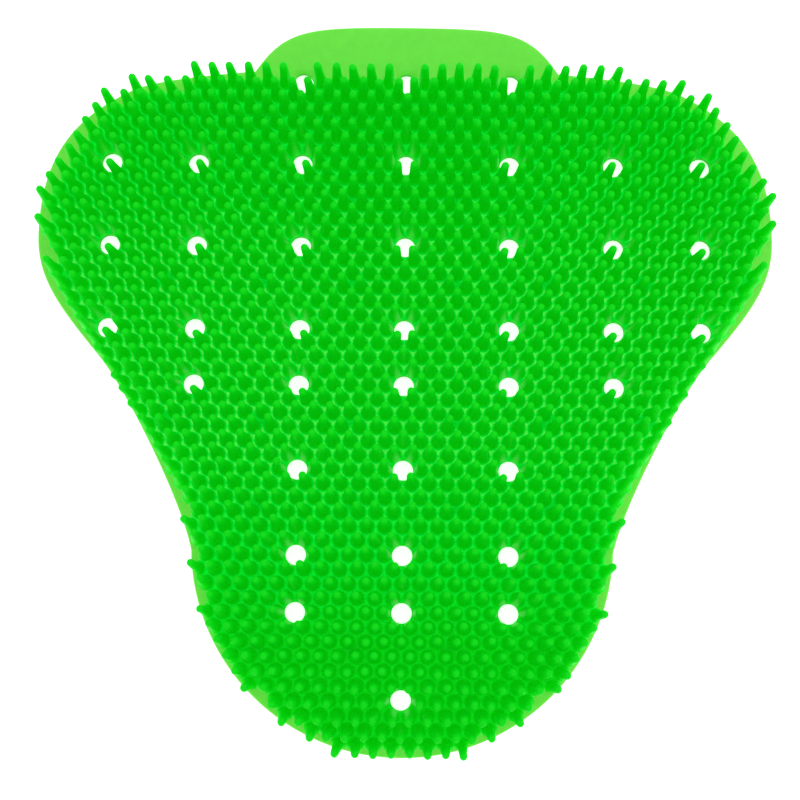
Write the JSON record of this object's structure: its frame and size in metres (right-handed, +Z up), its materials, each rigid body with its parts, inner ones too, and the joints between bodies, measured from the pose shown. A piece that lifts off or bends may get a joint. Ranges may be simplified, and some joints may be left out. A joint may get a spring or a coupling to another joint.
{
  "type": "urinal deodorizer screen",
  "caption": "Flexible bristled screen mat with drain holes, small feet and a grip tab, lies in a urinal bowl over the drain.",
  "frame": {"origin": "middle of the plan's bounding box, on the plane that the feet stand on", "axes": "+Z up along the bristles, +Y towards the grip tab, +X to the right as seen from above"},
  "size_m": [0.187, 0.1868, 0.015],
  "materials": {
    "scented_plastic": "smooth translucent soft plastic"
  },
  "bodies": {
    "root": {"bristle_mat": "scented_plastic"}
  },
  "joints": []
}
